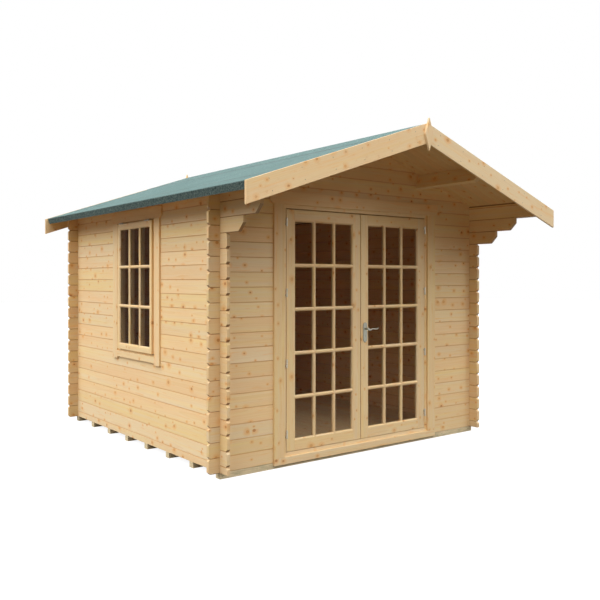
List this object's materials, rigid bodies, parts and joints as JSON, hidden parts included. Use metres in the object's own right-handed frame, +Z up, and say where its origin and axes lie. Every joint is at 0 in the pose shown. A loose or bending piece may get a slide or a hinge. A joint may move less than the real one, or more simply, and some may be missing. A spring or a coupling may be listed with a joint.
{
  "type": "log cabin",
  "caption": "Small garden log cabin with interlocking log walls, an apex felt roof with a front canopy, glazed double doors and a side window.",
  "frame": {"origin": "on the ground, under the middle of the whole cabin's box, roof and finials included", "axes": "+Z up, front gable with the doors faces -Y, the wall with the window faces -X"},
  "size_m": [3.374, 3.856, 2.727],
  "materials": {
    "pine": "planed, unpainted",
    "bearer_timber": "pressure treated, sawn",
    "roof_felt": "green mineral grit",
    "glass": "clear",
    "hinge_steel": "zinc plated",
    "handle_metal": "satin"
  },
  "bodies": {
    "cabin": {"floor_bearers": "bearer_timber", "floor_boards": "pine", "front_sill_log": "pine", "front_wall_left": "pine", "front_wall_right": "pine", "front_gable": "pine", "back_wall": "pine", "back_gable": "pine", "left_wall_lower": "pine", "left_wall_front": "pine", "left_wall_rear": "pine", "left_wall_top": "pine", "right_wall": "pine", "ridge_purlin": "pine", "left_purlin": "pine", "right_purlin": "pine", "roof_boards_left": "pine", "roof_boards_right": "pine", "roof_felt_left": "roof_felt", "roof_felt_right": "roof_felt", "eaves_strips": "pine", "front_bargeboards": "pine", "rear_bargeboards": "pine", "finials": "pine", "door_jambs": "pine", "door_head": "pine", "door_sill": "pine", "door_side_trims": "pine", "door_head_trim": "pine", "door_bottom_board": "pine", "door_hinge_pins": "hinge_steel", "window_frame": "pine", "window_sash": "pine", "window_glass": "glass", "window_side_trims": "pine", "window_head_trim": "pine", "window_bottom_board": "pine"},
    "left_door": {"left_door_leaf": "pine", "left_door_glass": "glass", "left_door_hinge_knuckles": "hinge_steel"},
    "right_door": {"right_door_leaf": "pine", "right_door_glass": "glass", "right_door_hinge_knuckles": "hinge_steel", "door_handle_plates": "handle_metal"},
    "door_lever": {"door_lever": "handle_metal"}
  },
  "joints": [
    {"name": "left_door_hinge", "type": "hinge", "parent": "cabin", "child": "left_door", "pos_m": [-0.82, -1.179, 1], "axis": [0, 0, -1], "range_deg": [0, 120]},
    {"name": "right_door_hinge", "type": "hinge", "parent": "cabin", "child": "right_door", "pos_m": [0.761, -1.179, 1], "axis": [0, 0, 1], "range_deg": [0, 120]},
    {"name": "lever_turn", "type": "hinge", "parent": "right_door", "child": "door_lever", "pos_m": [0.02, -1.17, 1.052], "axis": [0, 1, 0], "range_deg": [0, 40], "stiffness_Nm_per_rad": 1.5, "springref_deg": -20.05}
  ]
}
